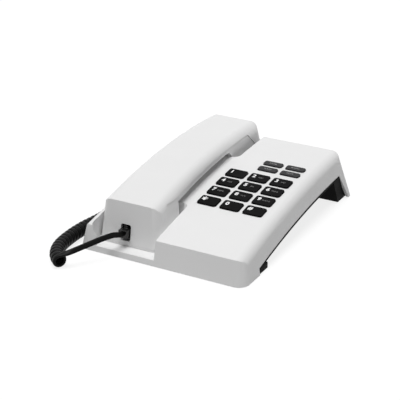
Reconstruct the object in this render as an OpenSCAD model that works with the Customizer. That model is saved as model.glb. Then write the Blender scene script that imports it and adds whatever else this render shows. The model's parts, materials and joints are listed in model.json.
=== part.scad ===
// Corded desk telephone. The base is a sloping wedge: a white upper housing whose deck is a
// shallow arc from front to back, on a black base plate that stands on two front feet and a
// rear stand. The keypad fills the right of the deck. On the left a handset lies in two open
// pockets, tied to the base by a curly cord.
// Frame: X to the user's right, Y to the back, Z up, origin under the middle of the base.

/* [Body] */
// Width of the base
body_w = 147.3; // [142:0.5:150]
// Depth of the base at the table
body_d = 202.4; // [200:0.2:208]
// How far the deck's arc falls from its crest to the front of the base
front_drop = 24.65; // [23:0.05:27]
// Height of the deck's crest above the table
crest_z = 44; // [43:0.25:50]
// Distance from the back of the base to the crest of the arc, which lies behind it
crest_back = 10.3; // [6:0.1:16]
// Radius of the soft edge between the deck and the sides
edge_r = 9; // [6:0.5:10]
// Radius of the upright corners at the front
corner_r = 9; // [6:0.5:11]
// Radius of the upright corners at the back
rear_corner_r = 6; // [5:0.5:9]
// Lean of the side walls in degrees
side_lean = 9; // [6:0.5:10]
// Lean of the front wall in degrees
front_lean = 12.3; // [9:0.1:13]
// Lean of the rear wall in degrees
rear_lean = 20; // [17:0.5:21]
// Wall of the upper housing
wall = 2.4; // [2:0.1:2.6]
// Height of the side skirt, measured down from the deck
skirt_h = 18.8; // [18:0.1:19.4]
// Length of the front nose that reaches down to the table
nose_l = 27; // [26:0.5:30]
// Gap between the upper housing and the table
skirt_gap = 0.6; // [0.5:0.1:1]

/* [Base plate] */
// Thickness of the base plate
base_t = 2.2; // [1.8:0.1:2.4]
// Gap between the skirt and the base plate below it
seam = 0.2; // [0.15:0.05:0.4]
// How far the base plate's edge is set in from the skirt
rim_inset = 0.6; // [0.4:0.1:1.2]
// Gap between the base plate and the walls beside it
base_gap = 0.3; // [0.2:0.05:0.6]
// Height of the black feet above the table, where the pads stand out
foot_gap = 0.3; // [0.2:0.1:0.4]
// Distance from the back of the base to the foot of the white post at each rear corner
post_l = 8.2; // [7:0.2:10]
// Lean of the post's front edge in degrees
post_lean = 29.5; // [26:0.5:32]
// Length of a front foot
foot_l = 12.6; // [10.6:0.2:14]
// Width of a front foot
foot_w = 12; // [11:0.5:16]
// Gap between the nose and a front foot
foot_back = 2.2; // [1:0.1:4]
// Distance from the back of the base to the foot of the stand's front face
stand_depth = 22.2; // [21:0.1:24]
// Lean of the stand's front face in degrees
stand_lean = 26.3; // [20:0.5:30]
// Diameter of a rubber pad
pad_d = 9; // [7:0.5:9.5]
// Thickness of a rubber pad
pad_t = 1.2; // [1:0.1:1.6]

/* [Cradle] */
// Width of the strip left of the handset pockets
cheek_w = 10.2; // [10:0.1:10.6]
// How far the cheek reaches round the handset's front corner
cheek_return = 6; // [4:0.5:7]
// Side clearance between the handset and the left wall of its pockets
cradle_gap = 0.6; // [0.5:0.05:0.8]
// Side clearance between the handset and the right wall of its pockets
cradle_gap_right = 2.4; // [2:0.1:2.8]
// Height of the front lip of the mouthpiece pocket
lip_z = 5.2; // [4.8:0.1:6]
// Height of the mouthpiece pocket's floor at its front
tray_z = 5; // [4.8:0.1:5.4]
// Clearance between the handset and the pocket floors
rest_gap = 0.3; // [0.2:0.05:0.5]
// Gap between the mouthpiece block and the pocket wall behind it
mouth_gap = 8; // [4:0.5:9]
// Corner radius of the mouthpiece pocket
mouth_corner_r = 5; // [3:0.5:8]
// Gap between the earpiece block and the pocket wall in front of it
ear_gap = 1.2; // [0.8:0.1:2]
// Corner radius of the earpiece pocket
ear_corner_r = 7; // [5:0.5:7.5]
// Wall of the pockets
pocket_t = 2; // [1.6:0.1:2.2]
// Depth of the finger recess under the handle
recess_t = 4; // [2:0.25:4.5]
// Width of the finger recess
recess_w = 34; // [28:1:36]

/* [Handset] */
// Width of the handset where its sides would reach the table
hs_w = 56; // [54:0.1:56.5]
// Distance from the front of the base to the foot of the handset's front face
hs_front = 12.3; // [11:0.1:14]
// Distance from the foot of the front face to the crown of the handset
hs_crown = 138.9; // [130:0.5:145]
// Radius of the handset's top arc
hs_r = 550; // [500:10:600]
// Height of the handset's crown above the table
hs_top = 56.3; // [56:0.1:58]
// Length of the handset along its foot
hs_l = 187.8; // [184:0.2:190]
// Lean of the handset's front end in degrees
hs_front_lean = 9; // [8:0.1:10]
// Lean of the handset's rear end in degrees
hs_rear_lean = 19; // [16:0.5:21]
// Lean of the handset's sides in degrees
hs_side_lean = 4; // [3:0.25:5]
// Radius of the soft long edges
hs_edge_r = 9; // [7:0.5:9.5]
// Radius of the upright corners
hs_corner_r = 7; // [5:0.5:9]
// Thickness of the handle at the crown
handle_t = 9.1; // [8.9:0.1:10]
// How far behind the crown the handle's underside is highest
handle_shift = 12; // [0:1:16]
// Length of the mouthpiece block
mouth_l = 36; // [33:0.5:38]
// Length of the earpiece block
ear_l = 61.2; // [58:0.2:62]
// Pitch of the mouthpiece face in degrees
mouth_pitch = 10; // [8:0.5:11]
// Pitch of the earpiece face in degrees
ear_pitch = 7; // [5:0.5:8]
// Height of the earpiece face at its rear end
ear_z = 21.2; // [21:0.1:22]
// Radius of the hollow between the handle and the earpiece block
ear_fillet = 9; // [5:0.5:10]
// Wall of the handset shells
hs_wall = 2; // [1.6:0.1:2.2]
// Height of the lower shell's edge along the handle
part_h = 3; // [2.5:0.1:3.5]
// Gap of the parting line
part_gap = 0.25; // [0.15:0.05:0.4]
// How far the lower shell is set in from the sides
inset = 0.5; // [0.3:0.1:0.8]
// Width of the jack opening in the front face
slot_w = 9; // [8.6:0.1:10]
// Height of the jack opening
slot_h = 13; // [12:0.25:14]
// Height of the foot of the jack opening above the mouthpiece face
slot_z = 4; // [3.5:0.1:5]
// Distance from the handset's middle to the middle of the jack opening, to the left
slot_off = 2.7; // [2:0.1:6]
// Diameter of the earpiece speaker
speaker_d = 36; // [30:0.5:38]
// Thickness of the earpiece speaker
speaker_t = 8; // [6:0.5:9]
// Diameter of the microphone capsule
mic_d = 9.7; // [9:0.1:11]

/* [Keys] */
// Width of a key
key_w = 16.7; // [15:0.1:17]
// Depth of a dialling key
key_d = 11.7; // [10.5:0.1:12]
// Depth of a function key
fkey_d = 6.5; // [6:0.1:6.8]
// Corner radius of a key
key_r = 1.8; // [1:0.1:2.5]
// Height of a key above the deck
key_h = 1.2; // [1:0.1:2]
// Travel of a key
key_travel = 1.5; // [1:0.1:1.6]
// Gap around a key in its opening
key_gap = 0.35; // [0.25:0.05:0.5]
// Distance between key columns
col_pitch = 20.15; // [19.8:0.05:20.6]
// Distance between rows of dialling keys
row_pitch = 15.46; // [15:0.02:15.8]
// Distance between rows of function keys
frow_pitch = 10.4; // [9.8:0.1:10.8]
// Distance from the top row of dialling keys to the nearer row of function keys
frow_gap = 16.5; // [15.5:0.1:17]
// Distance from the right side of the base to the middle of the right column
keys_right = 25.1; // [24.5:0.1:26.5]
// Distance from the front of the base to the middle of the bottom row
keys_front = 65.4; // [63:0.2:67]

/* [Electronics] */
// Thickness of the circuit boards
board_t = 1.6; // [1.2:0.1:1.6]
// Depth of the main board's top face below the deck
board_s = 10; // [9.8:0.1:10.2]
// Travel of the hook plunger
hook_travel = 5; // [3:0.25:5]
// Diameter of the ringer
ringer_d = 18; // [14:0.5:18]
// Thickness of the ringer
ringer_t = 7; // [5:0.5:8]
// Travel of the ringer switch's knob
switch_travel = 4; // [3:0.5:5]

/* [Cord] */
// Outer diameter of the curled cord
coil_d = 11.6; // [10:0.2:11.9]
// Width of the flat cord
cord_w = 5; // [4:0.2:5.2]

/* [Hidden] */
$fn = 48;
KEYS = [["key_1", 0, 3], ["key_2", 1, 3], ["key_3", 2, 3], ["key_4", 0, 2], ["key_5", 1, 2],
    ["key_6", 2, 2], ["key_7", 0, 1], ["key_8", 1, 1], ["key_9", 2, 1], ["key_star", 0, 0],
    ["key_0", 1, 0], ["key_hash", 2, 0]];
FKEYS = [["flash_key", 1, 0], ["mute_key", 2, 0], ["pause_key", 1, 1], ["redial_key", 2, 1]];

// Sides of the base
right = body_w/2;
back = body_d/2;
front = -back;
// Offset that keeps tangent faces from lying in one another
lap = 0.02;
// How far a cut runs past what it cuts
over = 60;
// Size of what stands for endless
far = 3*body_w;
// How deep the rings reach that stand for the deck and the handle
stock = 1.5*over;
// How far the round edges rise past the deck
edge_lift = 0.03;
// The deck's arc
deck_r = (pow(body_d + crest_back, 2) + pow(front_drop, 2))/(2*front_drop);
crest_y = back + crest_back;
axis_z = crest_z - deck_r;
back_sweep = 7;
sweep = 25;
function deck_z(y, s = 0) = axis_z + sqrt(pow(deck_r - s, 2) - pow(y - crest_y, 2));
function deck_a(y) = asin((crest_y - y)/deck_r);

// Handset frame
hs_x = -right + cheek_w + cradle_gap + hs_w/2;
hs_y0 = front + hs_front;
hs_y1 = hs_y0 + hs_l;
crown_y = hs_y0 + hs_crown;
under_y = crown_y + handle_shift;
under_z = hs_top - handle_t;
function mouth_z(y) = tray_z + rest_gap + tan(mouth_pitch)*(y - hs_y0);
function ear_face_z(y) = ear_z + tan(ear_pitch)*(hs_y1 - y);
function under_arc(y, up = 0) = under_z - hs_r + sqrt(pow(hs_r + up, 2) - pow(y - under_y, 2));
mouth_y = hs_y0 + mouth_l;
ear_y = hs_y1 - ear_l;

// Pockets
pocket_x0 = -right + cheek_w;
pocket_x1 = hs_x + hs_w/2 + cradle_gap_right;
lip_back = 0.8;
ear_inner_r = 1.5;
mouth_wall_y = mouth_y + mouth_gap;
ear_wall_y = ear_y - ear_gap;

// Base plate
plate_top = skirt_h + seam;
plate_s = plate_top + base_t;
stand_x = right - 3.9;
stand_in = right - wall - base_gap - 6.2;
foot_x = right - 1.3;
nose_y = front + nose_l;
stand_y = back - stand_depth;
well_gap = 0.4;

// Keypad
key_x = right - keys_right - 2*col_pitch;
key_y = front + keys_front;
function row_y(r) = key_y + r*row_pitch;
function frow_y(r) = row_y(3) + frow_gap + r*frow_pitch;
flange = 0.8;
flange_t = 1.2;
flange_gap = 0.2;
flange_s = wall + flange_gap;
stem_d = 4;
mat_t = 1;
ring_h = 2.4;
ring_d = 8;
ring_gap = 0.8;

// Main board: a flat board under the arc, held from bosses on the deck
board_y = key_y + 36;
board_edge = 14.36;
board_l = 3*row_pitch + frow_gap + frow_pitch + 2*board_edge;
board_x0 = key_x - 10;
board_x1 = key_x + 2*col_pitch + 9.5;
boss_d = 6;
board_sag = deck_r - sqrt(pow(deck_r, 2) - pow(board_l/2, 2));
stem_s = board_s - board_sag - mat_t - key_travel - 0.2;
function board_local(y) = (deck_r - board_s)*tan(deck_a(board_y) - deck_a(y));

// Screws
screw_d = 3;
screw_head_d = 6;
small_d = 2;
small_head_d = 4;
screw_in = 12;
base_screw_at = [[right - screw_in, front + 43.5], [right - screw_in, back - 40],
    [screw_in - right, mouth_wall_y + 12], [screw_in - right, ear_wall_y - 11]];
tube_h = 2;
board_screw_at = [[-1, -1], [1, -1], [-1, 1], [1, 1]];

// Rear board and what stands on it
rear_z = 4;
rear_top = rear_z + board_t;
plug_w = 7.6;
plug_h = 6.6;
latch_h = 2;
jack_h = 11.6;
cord_jack_w = 11.2;
line_jack_w = 13.4;
cord_jack_x = hs_x - 12;
line_jack_x = hs_x + 20;
rear_x0 = cord_jack_x - cord_jack_w/2 - 8.2;
rear_x1 = right - 26.5;
switch_x = rear_x1 - 16;
jack_gap = 0.35;
knob_z = rear_top + 4.5;

// Hook
hook_x = hs_x + 3.4;
hook_y = back - 16;
hook_w = 9;
hook_l = 6;
hook_gap = 0.3;
hook_top = ear_face_z(hook_y + hook_l/2) - rest_gap;
hook_floor = ear_face_z(hook_y + hook_l) - rest_gap - pocket_t;
hook_flange_z = hook_floor - hook_travel - 0.2;
switch_h = 3;

// Places shared by several pieces
ringer_in = 45;
ringer_x = right - ringer_in;
ringer_y = (front + wall/cos(front_lean) + base_gap + nose_y)/2;
pad_at = [for (s = [-1, 1]) each [[s*(foot_x - foot_w/2), nose_y + foot_back + foot_l/2],
    [s*(foot_x - foot_w/2 - 2), stand_y + 8]]];
rear_board_y0 = stand_y - tan(stand_lean)*(rear_z - foot_gap) + base_t/cos(stand_lean) + 0.6;
rear_board_y1 = back - wall/cos(rear_lean) - tan(rear_lean)*(rear_top - skirt_gap) - 0.6;
rear_y = (rear_board_y0 + rear_board_y1)/2;
rear_post_at = [rear_x0 + 4, line_jack_x + 12, rear_x1 - 3];
jack_y = back - tan(rear_lean)*(rear_top + jack_h - skirt_gap) - 0.2;
slot_x = hs_x - slot_off;
hs_foot_z = tray_z + rest_gap;
slot_foot = hs_foot_z + slot_z;
plug_z = slot_foot + 6.7;
plug_y = hs_y0 - 3.05;
plug_l = 13;
hs_jack_y = hs_y0 + tan(hs_front_lean)*(slot_foot + slot_h - hs_foot_z)
    + hs_wall/cos(hs_front_lean) + 0.3;
hs_jack_l = 11.2;
speaker_y = (ear_y + hs_y1)/2 - 1;
mic_y = mouth_y - 10.2;
mic_boot_d = mic_d + 4;
hs_screw_at = [mouth_y + 7, ear_y - 16];
function hs_top_z(y) = hs_top - hs_r + sqrt(pow(hs_r, 2) - pow(y - crown_y, 2));

// Cord route points, in the order that the cord runs
LEAD = [[slot_x, -92.05, 16.8], [slot_x, -93.8, 16.9], [slot_x - 0.2, -96.8, 17.7],
    [-39.4, -101.5, 19], [-42, -107, 19], [-46, -113, 17.8], [-51, -119.5, 15.8],
    [-56, -126, 13.6], [-60.6, -132, 11], [-65.4, -136.9, 7]];
COIL = [[-65.4, -137, 6], [-71.6, -131.6, 6], [-76.4, -125, 6], [-80, -116.8, 6],
    [-82, -107.4, 6], [-83, -93.1, 6], [-82.6, -79.9, 6], [-81, -68.1, 6], [-79.8, -59, 6],
    [-79.2, -45, 6], [-79.2, -15, 6], [-79.2, 20, 6], [-79.2, 50, 6], [-80, 78, 6]];
TAIL = [[-80, 78, 6], [-82, 90, 4.4], [-83, 102, 2.7], [-81, 113, 2.7], [-75, 120.5, 3.4],
    [-66, 123, 5.6], [-57.5, 121.5, 8.2], [-50.5, 116, 10], [cord_jack_x, 109, 10.6],
    [cord_jack_x, jack_y + 7, 10.6]];

// Rounded rectangle
module rrect(w, d, r) {
    square([w - 2*r, d], center = true);
    square([w, d - 2*r], center = true);
    for (x = [-1, 1], y = [-1, 1]) translate([x*(w/2 - r), y*(d/2 - r)]) circle(r);
}

// Outline in the YZ plane, drawn out along X between two places
module side_cut(x0, x1) {
    translate([x0, 0, 0]) rotate([90, 0, 90]) linear_extrude(x1 - x0) children();
}

// Sector of a ring about an axis parallel to X, with soft outer edges
module arc_bar(y, z, r_in, r_out, w, e = 0) {
    translate([0, y, z]) rotate([0, 90, 0]) rotate([0, 0, 180 - back_sweep])
        rotate_extrude(angle = sweep, $fn = 720) {
            translate([r_in, -w/2]) square([r_out - e - r_in, w]);
            if (e > 0) {
                translate([r_in, e - w/2]) square([r_out - r_in, w - 2*e]);
                for (s = [-1, 1]) translate([r_out - e, s*(w/2 - e)]) circle(e);
            }
        }
}

// Part of the deck's ring between two depths below the deck
module deck_bar(s0, s1, w) {
    arc_bar(crest_y, axis_z, deck_r - s1, deck_r - s0, w);
}

// Right side at x of a body whose top is an arc of radius r about a crest at y and z: a leaning
// plane with a round edge e between it and the top, taken in by i. The round stands edge_lift
// higher than one tangent to the top would, so that the two cross.
module side_bar(x, y, z, r, lean, e, i) {
    rho = (r - e)*cos(lean);
    top = (z - e*(1 - sin(lean)) + edge_lift)/cos(lean);
    translate([x, 0, 0]) rotate([0, -lean, 0]) {
        translate([0, y, top - rho]) rotate([0, 90, 0]) rotate([0, 0, 180 - back_sweep])
            rotate_extrude(angle = sweep, $fn = 720) {
                translate([rho - stock, -far]) square([stock, far - i]);
                translate([rho, -e]) circle(e - i);
            }
        side_cut(-far, e*(sin(lean) - 1)) translate([-far, -over]) square([2*far, 3*over]);
    }
}

// Upright corner of radius r between the right side at x and an end wall at y, both of which
// lean, taken in by i. It stands off the walls by a few laps, so that no two faces lie in one
// another. The end wall's lean is about its line at z.
module corner_prism(x, side, y, z, lean, r, i, laps) {
    e = r - i;
    t = asin(sin(lean)*sin(side));
    c = r*(1 - sin(t))/cos(t);
    foot_y = y - z*tan(lean);
    translate([x, foot_y, 0]) rotate([-atan(tan(lean)*cos(side)), -side, 0])
        translate([laps*lap, -laps*lap, -over]) linear_extrude(4*over) {
            translate([-r, c]) circle(e);
            polygon([[e - r, c], [e - r, far], [-far, far],
                [e*sin(t) - r - far*cos(t), c - e*cos(t) - far*sin(t)], [e*sin(t) - r, c - e*cos(t)]]);
        }
}

module base_side(i) {
    side_bar(right, crest_y, crest_z, deck_r, side_lean, edge_r, i);
}

// The base's outer form, or the same taken in by i
module base_form(i) {
    y0 = front + i/cos(front_lean);
    y1 = back - i/cos(rear_lean);
    intersection() {
        deck_bar(i, stock, 2*body_w);
        side_cut(-body_w, body_w) polygon([[y0 - over*tan(front_lean), -over], [y0, 0],
            [y0 + over*tan(front_lean), over], [y1 - over*tan(rear_lean), over], [y1, 0],
            [y1 + over*tan(rear_lean), -over]]);
        base_side(i);
        mirror([1, 0, 0]) base_side(i);
        corner_prism(right, side_lean, front, 0, front_lean, corner_r, i, 1);
        mirror([1, 0, 0]) corner_prism(right, side_lean, front, 0, front_lean, corner_r, i, 2);
        mirror([0, 1, 0]) corner_prism(right, side_lean, -back, 0, rear_lean, rear_corner_r, i, 3);
        mirror([1, 0, 0]) mirror([0, 1, 0])
            corner_prism(right, side_lean, -back, 0, rear_lean, rear_corner_r, i, 4);
    }
}

// Half spaces
module above(z) {
    translate([-over*2, -over*3, z]) cube([over*4, over*6, over*3]);
}
module below(z) {
    translate([-over*2, -over*3, z - over*3]) cube([over*4, over*6, over*3]);
}

// Plan outline of a pocket, drawn upwards: r at its right corners, r_left at its left ones
module pocket_plan(y0, y1, r, r_left, g) {
    w = pocket_x1 - pocket_x0 + 2*g;
    translate([(pocket_x0 + pocket_x1)/2, (y0 + y1)/2, -over]) linear_extrude(3*over) {
        rrect(w, y1 - y0 + 2*g, r + g);
        if (r_left < r) translate([-w/4, 0]) rrect(w/2, y1 - y0 + 2*g, r_left + g);
    }
}

// Room for the mouthpiece, grown by g. Its floor is level at the front and then climbs.
module mouth_pocket(g) {
    intersection() {
        pocket_plan(front + wall + lip_back, mouth_wall_y, mouth_corner_r, mouth_corner_r, g);
        side_cut(-2*over, 2*over) polygon([[front - over, tray_z - g], [hs_y0, tray_z - g],
            [2*over, mouth_z(2*over) - rest_gap - g], [2*over, 3*over], [front - over, 3*over]]);
    }
}

// Room for the earpiece, grown by g
module ear_pocket(g) {
    intersection() {
        pocket_plan(ear_wall_y, back + over/2, ear_corner_r, ear_inner_r, g);
        side_cut(-2*over, 2*over) polygon([[0, ear_face_z(0) - rest_gap - g],
            [back + over, ear_face_z(back + over) - rest_gap - g], [back + over, 3*over], [0, 3*over]]);
    }
}

// Finger recess under the handle, grown by g
module finger_recess(g) {
    y0 = mouth_wall_y + pocket_t + 4;
    y1 = ear_wall_y - pocket_t - 4;
    intersection() {
        translate([hs_x, (y0 + y1)/2, 0])
            linear_extrude(2*over) rrect(recess_w + 2*g, y1 - y0 + 2*g, 8 + g);
        deck_bar(-over, recess_t + g, body_w);
    }
}

// Frame on the deck at x and y, turned so that Z is the deck's normal, s below the surface
module on_deck(x, y, s = 0) {
    translate([x, y, deck_z(y)]) rotate([deck_a(y), 0, 0]) translate([0, 0, -s]) children();
}

module at_keys() {
    for (k = KEYS) on_deck(key_x + k[1]*col_pitch, row_y(k[2])) children();
}
module at_fkeys() {
    for (k = FKEYS) on_deck(key_x + k[1]*col_pitch, frow_y(k[2])) children();
}

// Front edge of the white post at each rear corner
function post_y(z) = back - post_l - tan(post_lean)*(z - skirt_gap);

// Opening under the side skirt, from the nose to the posts
module arch() {
    intersection() {
        arc_bar(crest_y, axis_z, deck_r - stock, deck_r - skirt_h, body_w + 2);
        side_cut(-body_w, body_w) polygon([[nose_y, -over], [nose_y, over], [post_y(over), over],
            [post_y(-over), -over]]);
    }
}

// Bore or peg along Z between two heights
module rod(x, y, z0, z1, d) {
    translate([x, y, z0]) cylinder(h = z1 - z0, d = d);
}

module upper_housing() {
    color("white") difference() {
        union() {
            difference() {
                base_form(0);
                difference() {
                    base_form(wall);
                    intersection() {
                        base_form(wall/2);
                        union() {
                            mouth_pocket(pocket_t);
                            ear_pocket(pocket_t);
                            finger_recess(pocket_t);
                        }
                    }
                    // Bosses for the screws of the base plate
                    for (p = base_screw_at)
                        rod(p[0], p[1], deck_z(p[1], plate_top - tube_h - 0.2), over,
                            boss_d + 1);
                    // Bosses for the main board
                    board_bosses();
                }
                arch();
            }
        }
        below(skirt_gap);
        mouth_pocket(0);
        ear_pocket(0);
        finger_recess(0);
        // Front of the mouthpiece pocket, open above its lip
        translate([pocket_x0 + cheek_return, front - over/2, lip_z])
            cube([pocket_x1 - pocket_x0 - cheek_return, over/2 + hs_front, 2*over]);
        at_keys() translate([0, 0, -over/2])
            linear_extrude(over) rrect(key_w + 2*key_gap, key_d + 2*key_gap, key_r + key_gap);
        at_fkeys() translate([0, 0, -over/2])
            linear_extrude(over) rrect(key_w + 2*key_gap, fkey_d + 2*key_gap, key_r + key_gap);
        // Way through for the hook plunger
        translate([hook_x, hook_y, 0])
            linear_extrude(2*over) rrect(hook_w + 2*hook_gap, hook_l + 2*hook_gap, 1 + hook_gap);
        // Rear openings for the jacks and the ringer knob
        for (j = [[cord_jack_x, cord_jack_w], [line_jack_x, line_jack_w]])
            translate([j[0] - j[1]/2 - jack_gap, back - 25, rear_top - jack_gap])
                cube([j[1] + 2*jack_gap, 50, jack_h + 2*jack_gap]);
        translate([switch_x - (3 + switch_travel)/2 - 0.4, back - 25, knob_z - 1.9])
            cube([3 + switch_travel + 0.8, 50, 3.8]);
        for (p = base_screw_at) rod(p[0], p[1], -over, deck_z(p[1], wall + 1), screw_d + 0.1);
        board_bores();
    }
}

// Bosses on the deck's underside that the main board is screwed to
module at_board_screws() {
    for (p = board_screw_at)
        on_deck((board_x0 + board_x1)/2, board_y, board_s)
            translate([p[0]*((board_x1 - board_x0)/2 - 3.4), p[1]*(board_l/2 - 3.4), 0]) children();
}
module board_bosses() {
    at_board_screws() translate([0, 0, 0.1]) cylinder(h = over, d = boss_d);
}
module board_bores() {
    at_board_screws() translate([0, 0, -over/2]) cylinder(h = over/2 + 6, d = small_d + 0.1);
}

// Heights of the base plate's wells under the two pockets, g above their underside
function mouth_well_z(y, g = 0) = mouth_z(y) - rest_gap - pocket_t - well_gap - base_t + g;
function ear_well_z(y, g = 0) = ear_face_z(y) - rest_gap - pocket_t - well_gap - base_t + g;
// Front face of the stand, and the line behind which the housing's rear wall stands
function stand_face(z) = stand_y - tan(stand_lean)*(z - foot_gap);
function rear_face(z) = back - wall/cos(rear_lean) - base_gap - tan(rear_lean)*(z - skirt_gap);

// What the base plate may fill: the room inside the walls, and under the skirt nearly the
// full width
module plate_outline() {
    base_form(wall + base_gap);
    intersection() {
        base_form(rim_inset);
        side_cut(-body_w, body_w) polygon([[nose_y + base_gap, -over], [nose_y + base_gap, over],
            [post_y(over) - base_gap, over], [post_y(-over) - base_gap, -over]]);
    }
}

module base_plate() {
    plate_mid = plate_s - base_t/2;
    well_x0 = pocket_x0 - pocket_t - well_gap;
    well_x1 = pocket_x1 + pocket_t + well_gap;
    mouth_end = mouth_wall_y + pocket_t + well_gap;
    ear_start = stand_y - 26;
    floor_y = front + wall/cos(front_lean) + base_gap;
    color("#202022") difference() {
        union() {
            intersection() {
                plate_outline();
                deck_bar(plate_top, stock, 2*body_w);
                union() {
                    // Curved plate under the deck
                    intersection() {
                        deck_bar(plate_top - 1, plate_s, 2*body_w - 2);
                        side_cut(-body_w, body_w) polygon([[nose_y - base_t, -over],
                            [nose_y - base_t, over], [stand_y - 2, over], [stand_y - 2, -over]]);
                    }
                    // Floor of the nose and the riser behind it
                    side_cut(-body_w, body_w) polygon([[floor_y - 1, skirt_gap], [nose_y, skirt_gap],
                        [nose_y, deck_z(nose_y, plate_mid)], [nose_y - base_t, deck_z(nose_y, plate_mid)],
                        [nose_y - base_t, skirt_gap + base_t], [floor_y - 1, skirt_gap + base_t]]);
                    // Wells under the handset's pockets
                    side_cut(well_x0 - base_t, well_x1 + base_t) polygon([
                        [nose_y - base_t, mouth_well_z(nose_y)],
                        [mouth_end + base_t, mouth_well_z(mouth_end + base_t)],
                        [mouth_end + base_t, deck_z(mouth_end, plate_mid)],
                        [nose_y - base_t, deck_z(nose_y, plate_mid)]]);
                    side_cut(well_x0 - base_t, well_x1 + base_t) polygon([
                        [ear_start, deck_z(ear_start, plate_mid)], [stand_y - 3, ear_well_z(stand_y - 3)],
                        [stand_y - 3, deck_z(stand_y, plate_mid)]]);
                    // Stand
                    side_cut(-stand_x, stand_x) polygon([[stand_face(foot_gap), foot_gap],
                        [rear_face(foot_gap) + 1, foot_gap], [rear_face(over) + 1, over],
                        [stand_face(over), over]]);
                    // Front feet
                    for (s = [-1, 1])
                        translate([s*(foot_x - foot_w/2) - foot_w/2, nose_y + foot_back, foot_gap])
                            cube([foot_w, foot_l, deck_z(nose_y + foot_back, plate_mid) - foot_gap]);
                }
            }
            // Tubes round the screws, and a collar round the ringer
            for (p = base_screw_at)
                rod(p[0], p[1], deck_z(p[1], plate_mid), deck_z(p[1], plate_top - tube_h), 10);
            rod(ringer_x, ringer_y, skirt_gap + base_t/2, skirt_gap + base_t + 2.5, ringer_d + 3);
        }
        // Hollows of the wells and the stand
        side_cut(well_x0, well_x1) polygon([
            [nose_y - base_t - 1, mouth_well_z(nose_y - base_t - 1, base_t)],
            [mouth_end, mouth_well_z(mouth_end, base_t)], [mouth_end, over],
            [nose_y - base_t - 1, over]]);
        side_cut(well_x0, well_x1) polygon([[ear_start, ear_well_z(ear_start, base_t)],
            [back, ear_well_z(back, base_t)], [back, over], [ear_start, over]]);
        side_cut(-stand_in, stand_in) polygon([
            [stand_face(foot_gap + base_t) + base_t/cos(stand_lean), foot_gap + base_t],
            [back + over, foot_gap + base_t], [back + over, over],
            [stand_face(over) + base_t/cos(stand_lean), over]]);
        for (p = base_screw_at) {
            rod(p[0], p[1], -over, over, screw_d + 0.4);
            rod(p[0], p[1], -over, deck_z(p[1], plate_s) + 2.4, screw_head_d + 0.6);
        }
        for (p = pad_at) rod(p[0], p[1], -over, pad_t + 0.1, pad_d + 0.4);
        rod(ringer_x, ringer_y, skirt_gap + base_t, over, ringer_d + 0.4);
        // Sound holes
        for (a = [0:60:300])
            rod(ringer_x + 5*cos(a), ringer_y + 5*sin(a), -over, over, 2.4);
    }
    // Posts of the rear board
    color("#202022") for (x = rear_post_at)
        difference() {
            rod(x, rear_y, foot_gap + base_t/2, rear_z, 5);
            rod(x, rear_y, foot_gap + base_t, over, small_d + 0.1);
        }
}

module rubber_feet() {
    color("#101010") for (p = pad_at) rod(p[0], p[1], 0, pad_t, pad_d);
}

// Screw with a round head, pointing up from z, with its head below
module screw(x, y, z, l, d, head_d, head_t) {
    rod(x, y, z - head_t/2, z + l, d);
    rod(x, y, z - head_t, z, head_d);
}

module base_screws() {
    color("silver") for (p = base_screw_at)
        screw(p[0], p[1], deck_z(p[1], plate_s) + 2.35, plate_s - wall - 5, screw_d, screw_head_d, 1.8);
}

module on_board() {
    on_deck((board_x0 + board_x1)/2, board_y, board_s) children();
}

module main_board() {
    color("#2f6b3a") difference() {
        on_board() translate([0, 0, -board_t])
            linear_extrude(board_t) rrect(board_x1 - board_x0, board_l, 1);
        board_bores();
    }
}

module board_components() {
    color("#26262a") on_board() {
        // Dialling chip, speech chip, transformer and capacitor, under the board
        for (c = [[-0.13, 0.27, 22, 8, 2.2], [0.33, -0.24, 16, 7, 2], [-0.46, 0.8, 12, 10, 3.2],
                [0.52, -0.82, 9, 7, 3]])
            translate([c[0]*(board_x1 - board_x0)/2 - c[2]/2, c[1]*board_l/2 - c[3]/2,
                -board_t - c[4]]) cube([c[2], c[3], c[4]]);
    }
}

module board_screws() {
    color("silver") at_board_screws() screw(0, 0, -board_t, 6, small_d, small_head_d, 1.2);
}

module keypad_mat() {
    y0 = board_local(row_y(0)) - key_d/2 - 1;
    y1 = board_local(frow_y(1)) + fkey_d/2 + 1;
    mid_x = (board_x0 + board_x1)/2;
    color("#3c3c40") on_board() {
        translate([0, (y0 + y1)/2, 0])
            linear_extrude(mat_t) rrect(board_x1 - board_x0 - 2, y1 - y0, 2);
        for (k = KEYS) mat_ring(key_x + k[1]*col_pitch - mid_x, board_local(row_y(k[2])));
        for (k = FKEYS) mat_ring(key_x + k[1]*col_pitch - mid_x, board_local(frow_y(k[2])));
    }
}
module mat_ring(x, y) {
    translate([x, y, mat_t/2]) difference() {
        cylinder(h = mat_t/2 + ring_h, d = ring_d);
        translate([0, 0, mat_t/2]) cylinder(h = over, d = stem_d + 2*ring_gap);
    }
}

// Key: a cap through the deck, a flange under it and a stem towards the mat
module key(d, shade) {
    color(shade) {
        translate([0, 0, -flange_s - flange_t/2])
            linear_extrude(key_h + flange_s + flange_t/2) rrect(key_w, d, key_r);
        translate([0, 0, -flange_s - flange_t])
            linear_extrude(flange_t) rrect(key_w + 2*flange, d + 2*flange, key_r + flange);
        translate([0, 0, -stem_s]) cylinder(h = stem_s - flange_s, d = stem_d);
    }
}

module hook_plunger() {
    color("white") translate([hook_x, hook_y, 0]) {
        translate([0, 0, hook_flange_z - 0.5])
            linear_extrude(hook_top - hook_flange_z + 0.5) rrect(hook_w, hook_l, 1);
        translate([0, 0, hook_flange_z - 1.5]) linear_extrude(1.5) rrect(hook_w + 3, hook_l + 3, 1.5);
        translate([0, 0, rear_top + switch_h + 0.3])
            cylinder(h = hook_flange_z - rear_top - switch_h - 1, d = 3);
    }
}

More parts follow.
